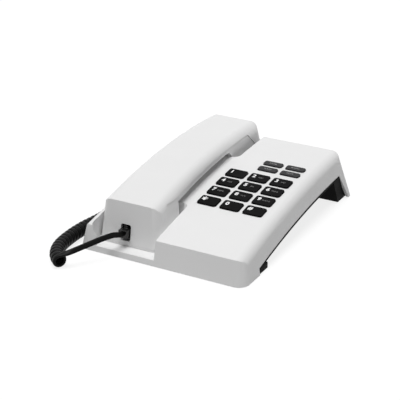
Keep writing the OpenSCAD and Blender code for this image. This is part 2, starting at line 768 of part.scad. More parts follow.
// Return spring, pressed together under the plunger's flange
module hook_spring() {
    z0 = rear_top + switch_h + 0.1;
    z1 = hook_flange_z - 1.6;
    wire = 0.6;
    turns = 4;
    per_turn = 16;
    n = turns*per_turn;
    sides = 6;
    color("silver") translate([hook_x, hook_y, 0]) tube_along(
        [for (i = [0:n]) [2.6*cos(i*360/per_turn), 2.6*sin(i*360/per_turn),
            z0 + wire/2 + (z1 - z0 - wire)*i/n]], wire/2, sides);
}

module hook_switch() {
    color("#303034") translate([hook_x - 5, hook_y - 3.5, rear_top]) cube([10, 7, switch_h]);
}

module ringer() {
    color("#38383c") rod(ringer_x, ringer_y, skirt_gap + base_t, skirt_gap + base_t + ringer_t, ringer_d);
}

module rear_board() {
    color("#2f6b3a") difference() {
        translate([rear_x0, rear_board_y0, rear_z])
            cube([rear_x1 - rear_x0, rear_board_y1 - rear_board_y0, board_t]);
        for (x = rear_post_at) rod(x, rear_y, 0, over, small_d + 0.3);
    }
}
module rear_board_screws() {
    color("silver") for (x = rear_post_at)
        translate([x, rear_y, rear_top]) rotate([180, 0, 0])
            screw(0, 0, 0, board_t + 1.2, small_d, small_head_d, 1.2);
}

// Modular jack that opens to +Y: its face at y, its foot at z
module jack(x, y, z, w, h, l, open_w, open_h) {
    difference() {
        translate([x - w/2, y - l, z]) cube([w, l, h]);
        translate([x - open_w/2, y - 10, z + 1.6]) cube([open_w, 20, open_h]);
        translate([x - open_w/4, y - 8, z + 1.6]) cube([open_w/2, 20, open_h + 2]);
    }
}
module line_jack() {
    color("#303034") jack(line_jack_x, jack_y, rear_top, line_jack_w, jack_h, 13.5, 9.9, 6.9);
}
module cord_jack() {
    color("#303034") jack(cord_jack_x, jack_y, rear_top, cord_jack_w, jack_h, 13.5, plug_w + 0.4,
        plug_h + 0.4);
}

module ringer_switch() {
    color("#303034") translate([switch_x - 6, rear_board_y0 + 1, rear_top]) cube([12, 8, 7]);
}
module ringer_knob() {
    y0 = rear_board_y0 + 9.2;
    color("#202022") translate([switch_x - 1.5 - switch_travel/2, y0, knob_z - 1.5])
        cube([3, back - tan(rear_lean)*(knob_z - skirt_gap) + 1 - y0, 3]);
}

// Handset form, taken in by i, and by dx more at the sides
module hs_side(i, dx) {
    side_bar(hs_w/2 - dx, crown_y, hs_top, hs_r, hs_side_lean, hs_edge_r, i);
}
module hs_form(i, dx = 0) {
    x = hs_w/2 - dx;
    y0 = hs_y0 - over;
    y1 = hs_y1 + over;
    mid = (mouth_y + ear_y)/2;
    front_y = hs_y0 + i/cos(hs_front_lean);
    rear_y = hs_y1 - i/cos(hs_rear_lean);
    translate([hs_x, 0, 0]) difference() {
        intersection() {
            arc_bar(crown_y, hs_top - hs_r, hs_r - stock, hs_r - i, 2*hs_w);
            side_cut(-hs_w, hs_w) polygon([
                [front_y - over*tan(hs_front_lean), hs_foot_z - over],
                [front_y + 2*over*tan(hs_front_lean), hs_foot_z + 2*over],
                [rear_y - 2*over*tan(hs_rear_lean), ear_z + 2*over],
                [rear_y + over*tan(hs_rear_lean), ear_z - over]]);
            hs_side(i, dx);
            mirror([1, 0, 0]) hs_side(i, dx);
            corner_prism(x, hs_side_lean, hs_y0, hs_foot_z, hs_front_lean, hs_corner_r, i, 1);
            mirror([1, 0, 0])
                corner_prism(x, hs_side_lean, hs_y0, hs_foot_z, hs_front_lean, hs_corner_r, i, 2);
            mirror([0, 1, 0])
                corner_prism(x, hs_side_lean, -hs_y1, ear_z, hs_rear_lean, hs_corner_r, i, 3);
            mirror([1, 0, 0]) mirror([0, 1, 0])
                corner_prism(x, hs_side_lean, -hs_y1, ear_z, hs_rear_lean, hs_corner_r, i, 4);
            side_cut(-over, over) polygon([[y0, mouth_z(y0) + i], [mid, mouth_z(mid) + i],
                [mid, ear_face_z(mid) + i], [y1, ear_face_z(y1) + i], [y1, 2*over], [y0, 2*over]]);
        }
        // Hand room between the two blocks
        intersection() {
            arc_bar(under_y, under_z - hs_r, hs_r - stock, hs_r + i, hs_w + 2);
            side_cut(-over, over) polygon([[mouth_y - i, -over], [mouth_y - i, over],
                [ear_y + i, over], [ear_y + i, -over]]);
        }
    }
}

// Hollow corner between the handle and the earpiece block
module ear_corner(dx) {
    z = under_arc(ear_y);
    translate([hs_x, 0, 0]) intersection() {
        side_cut(-hs_w/2, hs_w/2) difference() {
            translate([ear_y - ear_fillet, z - ear_fillet])
                square([ear_fillet + 0.5, ear_fillet + 0.5]);
            translate([ear_y - ear_fillet, z - ear_fillet]) circle(ear_fillet);
        }
        hs_side(0, dx);
        mirror([1, 0, 0]) hs_side(0, dx);
    }
}

// Part of the handset that belongs to the lower shell, grown by g
module lower_part(g) {
    lip = 1.2 + g;
    y0 = hs_y0 - over;
    y1 = hs_y1 + over;
    mouth_part_y = hs_y0 + 15.7 - g;
    ear_part_y = hs_y1 - 32.4 + g;
    ear_part_z = under_z + part_h;
    mouth_top = under_arc(mouth_y, part_h + g);
    intersection() {
        union() {
            arc_bar(under_y, under_z - hs_r, hs_r - stock, hs_r + part_h + g, 3*over);
            side_cut(-2*over, 2*over) polygon([[mouth_part_y, 0], [mouth_part_y, mouth_top - 4],
                [mouth_part_y + 3.5, mouth_top], [mouth_y + g, mouth_top], [mouth_y + g, 0]]);
        }
        side_cut(-2*over, 2*over) polygon([[y0, mouth_z(y0) + lip],
            [hs_y0 + 9.5, mouth_z(hs_y0 + 9.5) + lip], [mouth_part_y, mouth_z(hs_y0) + 18],
            [mouth_part_y, 2*over], [ear_part_y - 60, ear_part_z + 60], [ear_part_y, ear_part_z],
            [hs_y1 - 7, ear_face_z(hs_y1 - 7) + lip + 2.8], [hs_y1 - 7, ear_face_z(hs_y1 - 7) + lip],
            [y1, ear_face_z(y1) + lip], [y1, -over], [y0, -over]]);
    }
    // Tongue that closes the foot of the jack opening
    translate([slot_x - slot_w/2 + 0.2 - g, hs_y0 - 5, -over])
        cube([slot_w - 0.4 + 2*g, 10, over + slot_foot - 0.2 + g]);
}

module jack_slot() {
    translate([slot_x, hs_y0 + 8, slot_foot + slot_h/2]) rotate([90, 0, 0])
        linear_extrude(20) rrect(slot_w, slot_h, 1.5);
}

module handset_top_shell() {
    color("#e8e8e6") difference() {
        union() {
            difference() {
                hs_form(0);
                hs_form(hs_wall);
            }
            intersection() {
                hs_form(hs_wall/2);
                for (y = hs_screw_at)
                    rod(hs_x, y, under_arc(y, hs_wall + tube_h + 0.2), 2*over, boss_d);
            }
        }
        lower_part(part_gap);
        jack_slot();
        for (y = hs_screw_at) rod(hs_x, y, 0, hs_top_z(y) - hs_wall - 0.2, small_d + 0.6);
    }
}

module handset_bottom_shell() {
    color("#dededc") difference() {
        union() {
            difference() {
                intersection() {
                    union() {
                        hs_form(0, inset);
                        ear_corner(inset);
                    }
                    lower_part(0);
                }
                hs_form(hs_wall, inset);
            }
            intersection() {
                hs_form(hs_wall/2, inset);
                union() {
                    for (y = hs_screw_at) rod(hs_x, y, 0, under_arc(y, hs_wall + tube_h), 8);
                    at_speaker() difference() {
                        translate([0, 0, -3]) cylinder(h = 6, d = speaker_d + 3);
                        translate([0, 0, -over/2]) cylinder(h = over, d = speaker_d + 0.5);
                    }
                    at_mic() difference() {
                        translate([0, 0, -3]) cylinder(h = 6, d = mic_boot_d + 3);
                        translate([0, 0, -over/2]) cylinder(h = over, d = mic_boot_d + 0.4);
                    }
                }
            }
        }
        jack_slot();
        hs_jack_block(0.1);
        for (y = hs_screw_at) {
            rod(hs_x, y, 0, 2*over, small_d + 0.8);
            rod(hs_x, y, 0, under_arc(y) + 2.2, 5.4);
        }
        // Holes for the voice
        at_speaker() for (n = [0, 6, 12], i = [0:max(n, 1) - 1])
            rotate([0, 0, n > 0 ? i*360/n : 0]) translate([n*0.75, 0, -5]) cylinder(h = 10, d = 2);
        at_mic() for (x = [-3, 0, 3]) translate([x, 0, -5]) cylinder(h = 10, d = 1.5);
    }
}

// Frames on the inside of the earpiece face and the mouthpiece face
module at_speaker() {
    translate([hs_x, speaker_y, ear_face_z(speaker_y)]) rotate([-ear_pitch, 0, 0])
        translate([0, 0, hs_wall + 0.1]) children();
}
module at_mic() {
    translate([hs_x, mic_y, mouth_z(mic_y)]) rotate([mouth_pitch, 0, 0])
        translate([0, 0, hs_wall + 0.1]) children();
}

module handset_screws() {
    color("silver") for (y = hs_screw_at)
        screw(hs_x, y, under_arc(y) + 2.15, hs_top_z(y) - under_arc(y) - hs_wall - 3, small_d + 0.5, 5, 1.6);
}

module hs_jack_block(g) {
    translate([slot_x - cord_jack_w/2 - g, hs_jack_y - g, slot_foot + 0.7])
        cube([cord_jack_w + 2*g, hs_jack_l + 2*g, slot_h]);
}
module handset_jack() {
    color("#202022") difference() {
        hs_jack_block(0);
        translate([slot_x - plug_w/2 - 0.2, hs_jack_y - 1, plug_z - plug_h/2 - 0.2])
            cube([plug_w + 0.4, 10, plug_h + 0.4]);
        translate([slot_x - 1.8, hs_jack_y - 1, plug_z]) cube([3.6, 8, plug_h/2 + 3.2]);
    }
}

// Plug with its latch on top, along +Y from its end at y
module plug(x, y, z, l) {
    translate([x - plug_w/2, y, z - plug_h/2]) cube([plug_w, l, plug_h]);
    translate([x - 1.5, y + l - 8, z]) cube([3, 6, plug_h/2 + latch_h]);
}
module handset_plug() {
    color("#18181a") plug(slot_x, plug_y, plug_z, plug_l);
}
module base_plug() {
    color("#18181a") translate([cord_jack_x, jack_y + 6.95, rear_top + 1.8 + plug_h/2])
        rotate([0, 0, 180]) plug(0, 0, 0, 16);
}

module handset_weight() {
    y = (mouth_y + ear_y)/2 - 1;
    color("silver") translate([hs_x, y, under_arc(y, hs_wall + 0.3)])
        rotate([asin((under_y - y)/hs_r), 0, 0]) translate([-15, -19, 0]) cube([30, 38, 3.4]);
}
module ear_speaker() {
    color("#303034") at_speaker() cylinder(h = speaker_t, d = speaker_d);
}
module microphone() {
    color("silver") at_mic() translate([0, 0, 0.6]) cylinder(h = 6, d = mic_d);
}
module microphone_boot() {
    color("#18181a") at_mic() difference() {
        cylinder(h = 7, d = mic_boot_d);
        translate([0, 0, 0.5]) cylinder(h = 7, d = mic_d + 0.2);
        translate([0, 0, -1]) cylinder(h = 3, d = mic_d - 2);
    }
}

// Tube of radius r swept along points
function unit(v) = v/norm(v);
function dir_at(p, i) = unit(p[min(i + 1, len(p) - 1)] - p[max(i - 1, 0)]);
function ring_at(p, i, r, sides) =
    let (d = dir_at(p, i), side = unit(cross(d, [0, 0, 1])), up = cross(side, d))
    [for (k = [0:sides - 1]) p[i] + r*(side*cos(k*360/sides) + up*sin(k*360/sides))];
module tube_along(p, r, sides) {
    n = len(p);
    polyhedron([for (i = [0:n - 1]) each ring_at(p, i, r, sides)],
        [[for (k = [0:sides - 1]) k],
            for (i = [0:n - 2], k = [0:sides - 1]) [i*sides + k, (i + 1)*sides + k,
                (i + 1)*sides + (k + 1)%sides, i*sides + (k + 1)%sides],
            [for (k = [sides - 1:-1:0]) (n - 1)*sides + k]]);
}
// Smooth route through points that are chosen by hand
function bend(a, b, c, d, t) = ((2*b) + (c - a)*t + (2*a - 5*b + 4*c - d)*t*t
    + (3*b - a - 3*c + d)*t*t*t)/2;
function route(p, steps) = let (n = len(p) - 1)
    [for (i = [0:n - 1], s = [0:steps - 1]) bend(p[max(i - 1, 0)], p[i], p[i + 1],
        p[min(i + 2, n)], s/steps), p[n]];

module cord_lead() {
    color("#18181a") tube_along(route(LEAD, 2), cord_w/2, 8);
}
module cord_coil() {
    color("#18181a") tube_along(route(COIL, 1), coil_d/2, 12);
}
module cord_tail() {
    color("#18181a") tube_along(route(TAIL, 2), cord_w/2, 8);
}

upper_housing();
base_plate();
rubber_feet();
base_screws();
main_board();
board_components();
board_screws();
keypad_mat();
for (k = KEYS) on_deck(key_x + k[1]*col_pitch, row_y(k[2])) key(key_d, "#18181a");
for (k = FKEYS) on_deck(key_x + k[1]*col_pitch, frow_y(k[2])) key(fkey_d, "#48484c");
hook_plunger();
hook_spring();
hook_switch();
ringer();
ringer_switch();
ringer_knob();
rear_board();
rear_board_screws();
line_jack();
cord_jack();
handset_top_shell();
handset_bottom_shell();
handset_screws();
handset_jack();
handset_weight();
ear_speaker();
microphone();
microphone_boot();
handset_plug();
base_plug();
cord_lead();
cord_coil();
cord_tail();
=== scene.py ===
"""Dresses the corded desk telephone: camera and light, curly cord, plastic housings, keys with
their figures, handset, plugs and the parts inside."""

import json
import math

import bpy
from bpy.props import FloatProperty, FloatVectorProperty, IntProperty, PointerProperty
from mathutils import Matrix, Vector

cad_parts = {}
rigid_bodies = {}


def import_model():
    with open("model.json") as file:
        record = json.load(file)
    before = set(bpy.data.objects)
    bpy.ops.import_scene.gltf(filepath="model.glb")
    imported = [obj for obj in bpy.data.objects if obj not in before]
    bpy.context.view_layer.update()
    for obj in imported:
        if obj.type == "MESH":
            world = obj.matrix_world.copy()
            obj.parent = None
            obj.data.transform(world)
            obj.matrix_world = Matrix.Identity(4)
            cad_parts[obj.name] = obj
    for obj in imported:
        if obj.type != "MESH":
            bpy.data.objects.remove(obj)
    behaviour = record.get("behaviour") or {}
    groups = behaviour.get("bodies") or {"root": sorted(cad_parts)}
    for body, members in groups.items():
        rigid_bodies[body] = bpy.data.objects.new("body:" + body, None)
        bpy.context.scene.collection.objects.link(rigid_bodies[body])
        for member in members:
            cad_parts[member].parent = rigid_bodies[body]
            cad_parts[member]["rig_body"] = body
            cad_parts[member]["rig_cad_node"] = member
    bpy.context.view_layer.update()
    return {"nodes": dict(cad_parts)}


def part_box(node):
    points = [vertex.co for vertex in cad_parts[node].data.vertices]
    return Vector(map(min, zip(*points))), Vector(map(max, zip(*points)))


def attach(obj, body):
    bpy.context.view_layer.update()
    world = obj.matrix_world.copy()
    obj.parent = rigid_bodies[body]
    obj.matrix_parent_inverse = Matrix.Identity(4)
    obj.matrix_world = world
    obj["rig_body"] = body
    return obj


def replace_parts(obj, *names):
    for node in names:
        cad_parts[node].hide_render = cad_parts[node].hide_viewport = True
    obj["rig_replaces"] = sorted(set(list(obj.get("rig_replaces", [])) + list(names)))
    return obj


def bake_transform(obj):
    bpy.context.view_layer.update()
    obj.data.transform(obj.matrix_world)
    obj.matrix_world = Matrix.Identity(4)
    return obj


bl_info = {
    "name": "Corded Desk Telephone",
    "version": (1, 0, 0),
    "blender": (4, 5, 0),
    "location": "View3D > Sidebar > Telephone",
    "description": "Dresses the corded desk telephone on its packed frame",
    "category": "Object",
}

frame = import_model()
nodes = frame["nodes"]
MM = 0.001


def mm(*values):
    return Vector([v * MM for v in values])


# ---------------------------------------------------------------- frame of the part

# The deck's arc about an axis along X: its radius and its highest point
DECK_R = 929.998 * MM
CREST = mm(0, 111.5, 44)
# The arc of the handset's top, in the same way
HANDSET_R = 550 * MM
CROWN = mm(0, 50, 56.3)
# A corner belongs to an arc when it lies this near to it and its face nearly follows it
ON_ARC = 0.05 * MM
NEAR_ARC = math.cos(math.radians(4))

DIGIT_KEYS = {
    "key_1": ("1", ""), "key_2": ("2", "ABC"), "key_3": ("3", "DEF"),
    "key_4": ("4", "GHI"), "key_5": ("5", "JKL"), "key_6": ("6", "MNO"),
    "key_7": ("7", "PQRS"), "key_8": ("8", "TUV"), "key_9": ("9", "WXYZ"),
    "key_star": ("*", ""), "key_0": ("0", ""), "key_hash": ("#", ""),
}
WORD_KEYS = {
    "flash_key": "FLASH", "mute_key": "MUTE", "pause_key": "PAUSE", "redial_key": "REDIAL",
}

# Parts inside and small fasteners, which keep their shape and get their finish
INNER_NODES = {
    "steel": ["base_screws", "board_screws", "rear_board_screws", "handset_screws", "hook_spring",
              "handset_weight", "microphone"],
    "board_green": ["main_board", "rear_board"],
    "part_black": ["board_components", "hook_switch", "ringer", "ringer_switch", "ear_speaker"],
    "mat_grey": ["keypad_mat", "microphone_boot"],
    "housing_white": ["hook_plunger"],
}

# Printing on the keys: places on a key's top from its middle, and how the figures are drawn
FIGURE_AT = mm(-4.3, 1.3, 0.015)
LETTERS_AT = mm(1.8, 0.4, 0.015)
WORD_AT = mm(0, 0, 0.015)
INK_DEPTH = 0.012 * MM
CAPITAL_SHARE = 0.72  # height of a capital in a text of size 1
FIGURE_BOLD = 0.055  # widening of a figure's lines, as a share of its height
STAR_SCALE = 1.8  # the star is drawn small in the typeface
# How far under a key's highest corner its top reaches, and how flat its face is
KEY_TOP_DEPTH, KEY_FACE_DEPTH = 3 * MM, 0.01 * MM

# Route of the cord, in the order in which it runs
LEAD = [mm(*p) for p in [
    (-37.55, -92.05, 16.8), (-37.55, -93.8, 16.9), (-37.75, -96.8, 17.7), (-39.4, -101.5, 19),
    (-42, -107, 19), (-46, -113, 17.8), (-51, -119.5, 15.8), (-56, -126, 13.8),
    (-60.6, -132, 12)]]
COIL = [mm(*p) for p in [
    (-65.4, -137, 6), (-71.6, -131.6, 6), (-76.4, -125, 6), (-80, -116.8, 6), (-82, -107.4, 6),
    (-83, -93.1, 6), (-82.6, -79.9, 6), (-81, -68.1, 6), (-79.8, -59, 6), (-79.2, -45, 6),
    (-79.2, -15, 6), (-79.2, 20, 6), (-79.2, 50, 6), (-80, 78, 6)]]
TAIL = [mm(*p) for p in [
    (-83.6, 80, 10), (-86, 85, 7.6), (-85.6, 92, 4.6), (-83.6, 101, 2.6), (-80.8, 112, 2.4),
    (-75, 119.8, 3), (-66, 122.6, 5.4), (-57, 121.2, 8.2), (-49.8, 116, 10), (-46.85, 109, 10.6),
    (-46.85, 101.96, 10.6)]]
COIL_ROUTE_STEPS, END_ROUTE_STEPS = 24, 4
SECTION_CORNERS = 14
# How far the section of the flat cord is squared across its width and its thickness
SECTION_POWERS = (0.62, 0.72)
# The lead's stand on its edge, as shares up and aside, and how fast it turns flat at the curls
LEAD_UP, LEAD_ASIDE, LEAD_TURN = 0.9, 0.45, 5

# The photograph's camera, and a wide sun with a plain sky
CAMERA_AT = (0.4575, -0.8520, 0.4477)
CAMERA_LOOK = (-0.44678, 0.79707, -0.40626)
LENS_MM, SENSOR_MM = 116.3, 36
CLIP_NEAR, CLIP_FAR = 0.05, 20
SUN_LOOK = (0.04, 0.11, -1)
SUN_STRENGTH, SUN_DEGREES = 2.36, 40
SKY_STRENGTH = 0.25
# The floor: its size, its matt shade under the part, and its shade and glow in the picture
FLOOR_SIZE = 6
FLOOR_MATT, FLOOR_SHOWN, FLOOR_GLOW = 0.5, 0.22, 0.82

# Angles in degrees: two faces that are one, an edge that is rounded, and edges that stay in
# the shading of small parts and of shells
FLAT_DEGREES = 0.08
ROUNDED_DEGREES = 32
SOFT_DEGREES = 38
SHELL_DEGREES = 30


# ---------------------------------------------------------------- sizes and colours

def length(name, description, default, low, high):
    """Size given in millimetres"""
    return FloatProperty(
        name=name, description=description, default=default * MM, min=low * MM, max=high * MM,
        subtype="DISTANCE", unit="LENGTH", precision=5)


class TelephoneSizes(bpy.types.PropertyGroup):
    """Sizes that may be changed by the user"""
    housing_edge: length("Housing edge", "Round on the edges of the housings", 0.45, 0.1, 0.8)
    key_edge: length("Key edge", "Round on the edges of the keys", 0.3, 0.1, 0.7)
    cord_width: length("Cord width", "Width of the flat cord", 4.5, 4, 5)
    cord_thickness: length("Cord thickness", "Thickness of the flat cord", 2.4, 1.8, 2.8)
    coil_width: length("Coil width", "Outside diameter of the curled cord", 11.6, 10, 11.8)
    coil_pitch: length(
        "Coil pitch", "Distance from one turn of the curled cord to the next", 4.8, 4.5, 7)
    coil_steps: IntProperty(
        name="Coil steps", description="Rings of the cord's mesh in each turn",
        default=20, min=12, max=32)
    figure_height: length("Figure height", "Height of the figures on the keys", 4.2, 3, 5)
    letter_height: length(
        "Letter height", "Height of the letters beside the figures", 1.7, 1.2, 2.4)
    word_height: length("Word height", "Height of the words on the function keys", 1.7, 1.2, 2.4)


def colour(name, description, value):
    return FloatVectorProperty(
        name=name, description=description, default=value, min=0, max=1, size=3, subtype="COLOR")


class TelephoneColours(bpy.types.PropertyGroup):
    """Colours that may be changed by the user"""
    housing: colour("Housing", "Colour of the upper housing", (0.80, 0.80, 0.80))
    handset: colour("Handset", "Colour of the handset", (0.80, 0.80, 0.80))
    base: colour("Base", "Colour of the base plate and the stand", (0.004, 0.004, 0.004))
    key: colour("Keys", "Colour of the number keys", (0.004, 0.004, 0.004))
    function_key: colour("Function keys", "Colour of the function keys", (0.03, 0.03, 0.031))
    cord: colour("Cord", "Colour of the cord and its plugs", (0.005, 0.005, 0.005))
    figure: colour("Figures", "Colour of the figures on the keys", (0.9, 0.9, 0.9))
    letter: colour("Letters", "Colour of the letters beside the figures", (0.22, 0.22, 0.22))
    word: colour("Words", "Colour of the words on the function keys", (0.34, 0.34, 0.34))


def sizes():
    return bpy.context.scene.telephone_sizes


def colours():
    return bpy.context.scene.telephone_colours


# ---------------------------------------------------------------- finishes

def start_material(name):
    material = bpy.data.materials.get(name)
    if material:
        return material, None, None
    material = bpy.data.materials.new(name)
    material.use_nodes = True
    tree = material.node_tree
    return material, tree, tree.nodes["Principled BSDF"]


def object_noise(tree, scale, detail=3.0, rough=0.5, stretch=(1, 1, 1)):
    place = tree.nodes.new("ShaderNodeTexCoord")
    mapping = tree.nodes.new("ShaderNodeMapping")
    mapping.inputs["Scale"].default_value = stretch
    noise = tree.nodes.new("ShaderNodeTexNoise")
    noise.inputs["Scale"].default_value = scale
    noise.inputs["Detail"].default_value = detail
    noise.inputs["Roughness"].default_value = rough
    tree.links.new(place.outputs["Object"], mapping.inputs["Vector"])
    tree.links.new(mapping.outputs["Vector"], noise.inputs["Vector"])
    return noise.outputs["Fac"]


def spread(tree, value, low, high):
    """Maps a noise, which seldom leaves 0.3 to 0.7, to a range"""
    span = tree.nodes.new("ShaderNodeMapRange")
    span.inputs["From Min"].default_value = 0.3
    span.inputs["From Max"].default_value = 0.7
    span.inputs["To Min"].default_value = low
    span.inputs["To Max"].default_value = high
    tree.links.new(value, span.inputs["Value"])
    return span.outputs["Result"]


def shade_of(tree, value, dark, light):
    mix = tree.nodes.new("ShaderNodeMix")
    mix.data_type = "RGBA"
    mix.inputs["A"].default_value = (*dark, 1)
    mix.inputs["B"].default_value = (*light, 1)
    tree.links.new(value, mix.inputs["Factor"])
    return mix.outputs["Result"]


def moulded(name, base, rough, grain=900, depth=0.03, mottle=0.03, coat=0.0, specular=0.5,
            edge=0.0):
    """Moulded plastic: fine spark-eroded grain, faint flow marks, a slightly uneven gloss and,
    where asked, edges that shade as if rounded"""
    material, tree, shader = start_material(name)
    if tree is None:
        return material
    fine = object_noise(tree, grain, 4.0, 0.6)
    broad = object_noise(tree, 22, 2.0, 0.5, (1, 1.6, 1))
    dark = [c * (1 - mottle) for c in base]
    light = [min(1.0, c * (1 + mottle)) for c in base]
    tree.links.new(shade_of(tree, spread(tree, broad, 0, 1), dark, light),
                   shader.inputs["Base Color"])
    tree.links.new(spread(tree, object_noise(tree, grain / 8, 3.0), rough - 0.05, rough + 0.05),
                   shader.inputs["Roughness"])
    bump = tree.nodes.new("ShaderNodeBump")
    bump.inputs["Strength"].default_value = 0.35
    bump.inputs["Distance"].default_value = depth * MM
    tree.links.new(fine, bump.inputs["Height"])
    if edge:
        soft = tree.nodes.new("ShaderNodeBevel")
        soft.samples = 6
        soft.inputs["Radius"].default_value = edge
        tree.links.new(soft.outputs["Normal"], bump.inputs["Normal"])
    tree.links.new(bump.outputs["Normal"], shader.inputs["Normal"])
    shader.inputs["Specular IOR Level"].default_value = specular
    shader.inputs["Coat Weight"].default_value = coat
    shader.inputs["Coat Roughness"].default_value = 0.15
    return material


def rubber(name, base):
    """Soft dull rubber with a fine dusty tooth"""
    return moulded(name, base, 0.8, grain=1500, depth=0.06, mottle=0.12, specular=0.3)


def metal(name, base, rough, stretch):
    """Plated or drawn metal with fine scratches along its make"""
    material, tree, shader = start_material(name)
    if tree is None:
        return material
    lines = object_noise(tree, 600, 4.0, 0.6, stretch)
    dark = [c * 0.85 for c in base]
    tree.links.new(shade_of(tree, spread(tree, lines, 0, 1), dark, base),
                   shader.inputs["Base Color"])
    tree.links.new(spread(tree, lines, rough - 0.08, rough + 0.1), shader.inputs["Roughness"])
    bump = tree.nodes.new("ShaderNodeBump")
    bump.inputs["Strength"].default_value = 0.3
    bump.inputs["Distance"].default_value = 0.02 * MM
    tree.links.new(lines, bump.inputs["Height"])
    tree.links.new(bump.outputs["Normal"], shader.inputs["Normal"])
    shader.inputs["Metallic"].default_value = 1.0
    return material


def circuit(name):
    """Green solder resist over faint copper runs"""
    material, tree, shader = start_material(name)
    if tree is None:
        return material
    place = tree.nodes.new("ShaderNodeTexCoord")
    runs = tree.nodes.new("ShaderNodeTexBrick")
    runs.inputs["Scale"].default_value = 160
    runs.inputs["Mortar Size"].default_value = 0.06
    runs.inputs["Color1"].default_value = (0.012, 0.075, 0.028, 1)
    runs.inputs["Color2"].default_value = (0.016, 0.09, 0.034, 1)
    runs.inputs["Mortar"].default_value = (0.05, 0.17, 0.07, 1)
    tree.links.new(place.outputs["Object"], runs.inputs["Vector"])
    tree.links.new(runs.outputs["Color"], shader.inputs["Base Color"])
    tree.links.new(spread(tree, object_noise(tree, 300), 0.25, 0.38), shader.inputs["Roughness"])
    return material


def finishes():
    c = colours()
    return {
        "housing_white": moulded("white_housing_plastic", c.housing, 0.46, mottle=0.008,
                                 edge=sizes().housing_edge),
        "handset_white": moulded("white_handset_plastic", c.handset, 0.42, mottle=0.008,
                                 edge=sizes().housing_edge),
        "base_black": moulded("black_base_plastic", c.base, 0.55, grain=700, depth=0.06,
                              mottle=0.1, specular=0.04, edge=sizes().housing_edge),
        "key_black": moulded("black_key_plastic", c.key, 0.5, mottle=0.08, specular=0.03),
        "key_grey": moulded("grey_key_plastic", c.function_key, 0.45, mottle=0.06,
                            specular=0.1),
        "rubber": rubber("foot_rubber", (0.02, 0.02, 0.02)),
        "mat_grey": rubber("key_mat_rubber", (0.05, 0.05, 0.055)),
        "board_green": circuit("circuit_board"),
        "part_black": moulded("black_component", (0.02, 0.02, 0.022), 0.4, mottle=0.15),
        "jack_black": moulded("black_jack_plastic", (0.012, 0.012, 0.013), 0.4, mottle=0.1,
                              specular=0.15),
        "plug_black": moulded("black_plug_plastic", c.cord, 0.2, grain=400, depth=0.02,
                              mottle=0.1, coat=0.15, specular=0.35),
        "cord_black": moulded("black_cord_sheath", c.cord, 0.38, grain=1200, depth=0.05,
                              mottle=0.12, specular=0.08),
        "steel": metal("zinc_plated_steel", (0.62, 0.62, 0.64), 0.34, (1, 1, 6)),
    }


def ink(name, base):
    """Printed ink with worn specks"""
    return moulded(name, base, 0.55, grain=2500, depth=0.01, mottle=0.06, specular=0.3)


# ---------------------------------------------------------------- making by hand

def only(piece):
    if bpy.context.object and bpy.context.object.mode != "OBJECT":
        bpy.ops.object.mode_set(mode="OBJECT")
    bpy.ops.object.select_all(action="DESELECT")
    piece.select_set(True)
    bpy.context.view_layer.objects.active = piece


def dress(piece, material):
    piece.data.materials.clear()
    piece.data.materials.append(material)


def apply_modifier(piece, kind, **settings):
    only(piece)
    modifier = piece.modifiers.new(kind.lower(), kind)
    for key, value in settings.items():
        setattr(modifier, key, value)
    bpy.ops.object.modifier_apply(modifier=modifier.name)


def working_copy(node, name):
    """Copy of a CAD node with its doubles merged and its flat faces made whole"""
    source = nodes[node]
    piece = source.copy()
    piece.data = source.data.copy()
    piece.name = name
    piece.data.name = name
    piece.parent = None
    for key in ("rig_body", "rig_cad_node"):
        if key in piece:
            del piece[key]
    bpy.context.scene.collection.objects.link(piece)
    only(piece)
    bpy.ops.object.mode_set(mode="EDIT")
    bpy.ops.mesh.select_all(action="SELECT")
    bpy.ops.mesh.remove_doubles(threshold=1e-6)
    bpy.ops.mesh.dissolve_limited(angle_limit=math.radians(FLAT_DEGREES))
    bpy.ops.object.mode_set(mode="OBJECT")
    return piece


def stand_for(piece, node, slot):
    """Puts a finished copy in the place of its CAD node"""
    dress(piece, finishes()[slot])
    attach(piece, nodes[node]["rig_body"])
    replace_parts(piece, node)


def soft_node(node, name, slot, width, segments=3):
    """Small part: its sharp edges are rounded and its flat faces stay flat"""
    piece = working_copy(node, name)
    apply_modifier(piece, "BEVEL", width=width, segments=segments, limit_method="ANGLE",
                   angle_limit=math.radians(ROUNDED_DEGREES), use_clamp_overlap=False,
                   miter_outer="MITER_ARC", loop_slide=False)
    bpy.ops.object.shade_smooth_by_angle(angle=math.radians(SOFT_DEGREES))
    apply_modifier(piece, "WEIGHTED_NORMAL", keep_sharp=True, weight=60)
    stand_for(piece, node, slot)


def round_normals(piece, crest, radius):
    """Gives what lies on an arc about an axis along X the arc's own normals, so that it shades
    as one smooth surface whatever its triangles"""
    mesh = piece.data
    centre = crest - Vector((0, 0, radius))
    normals = [Vector(n.vector) for n in mesh.corner_normals]
    for face in mesh.polygons:
        for i in face.loop_indices:
            out = mesh.vertices[mesh.loops[i].vertex_index].co - centre
            out.x = 0
            if abs(out.length - radius) < ON_ARC and face.normal.dot(out.normalized()) > NEAR_ARC:
                normals[i] = out.normalized()
    mesh.normals_split_custom_set(normals)


def shell_node(node, name, slot, crest, radius):
    """Large shell: its rounds are in the frame's form, so only its shading is smoothed"""
    piece = working_copy(node, name)
    bpy.ops.object.shade_smooth_by_angle(angle=math.radians(SHELL_DEGREES))
    apply_modifier(piece, "WEIGHTED_NORMAL", mode="FACE_AREA", keep_sharp=True, weight=100)
    round_normals(piece, crest, radius)
    stand_for(piece, node, slot)


def deck_slope(y):
    """Slope of the deck at a depth"""
    return math.asin((CREST.y - y) / DECK_R)


# ---------------------------------------------------------------- stage

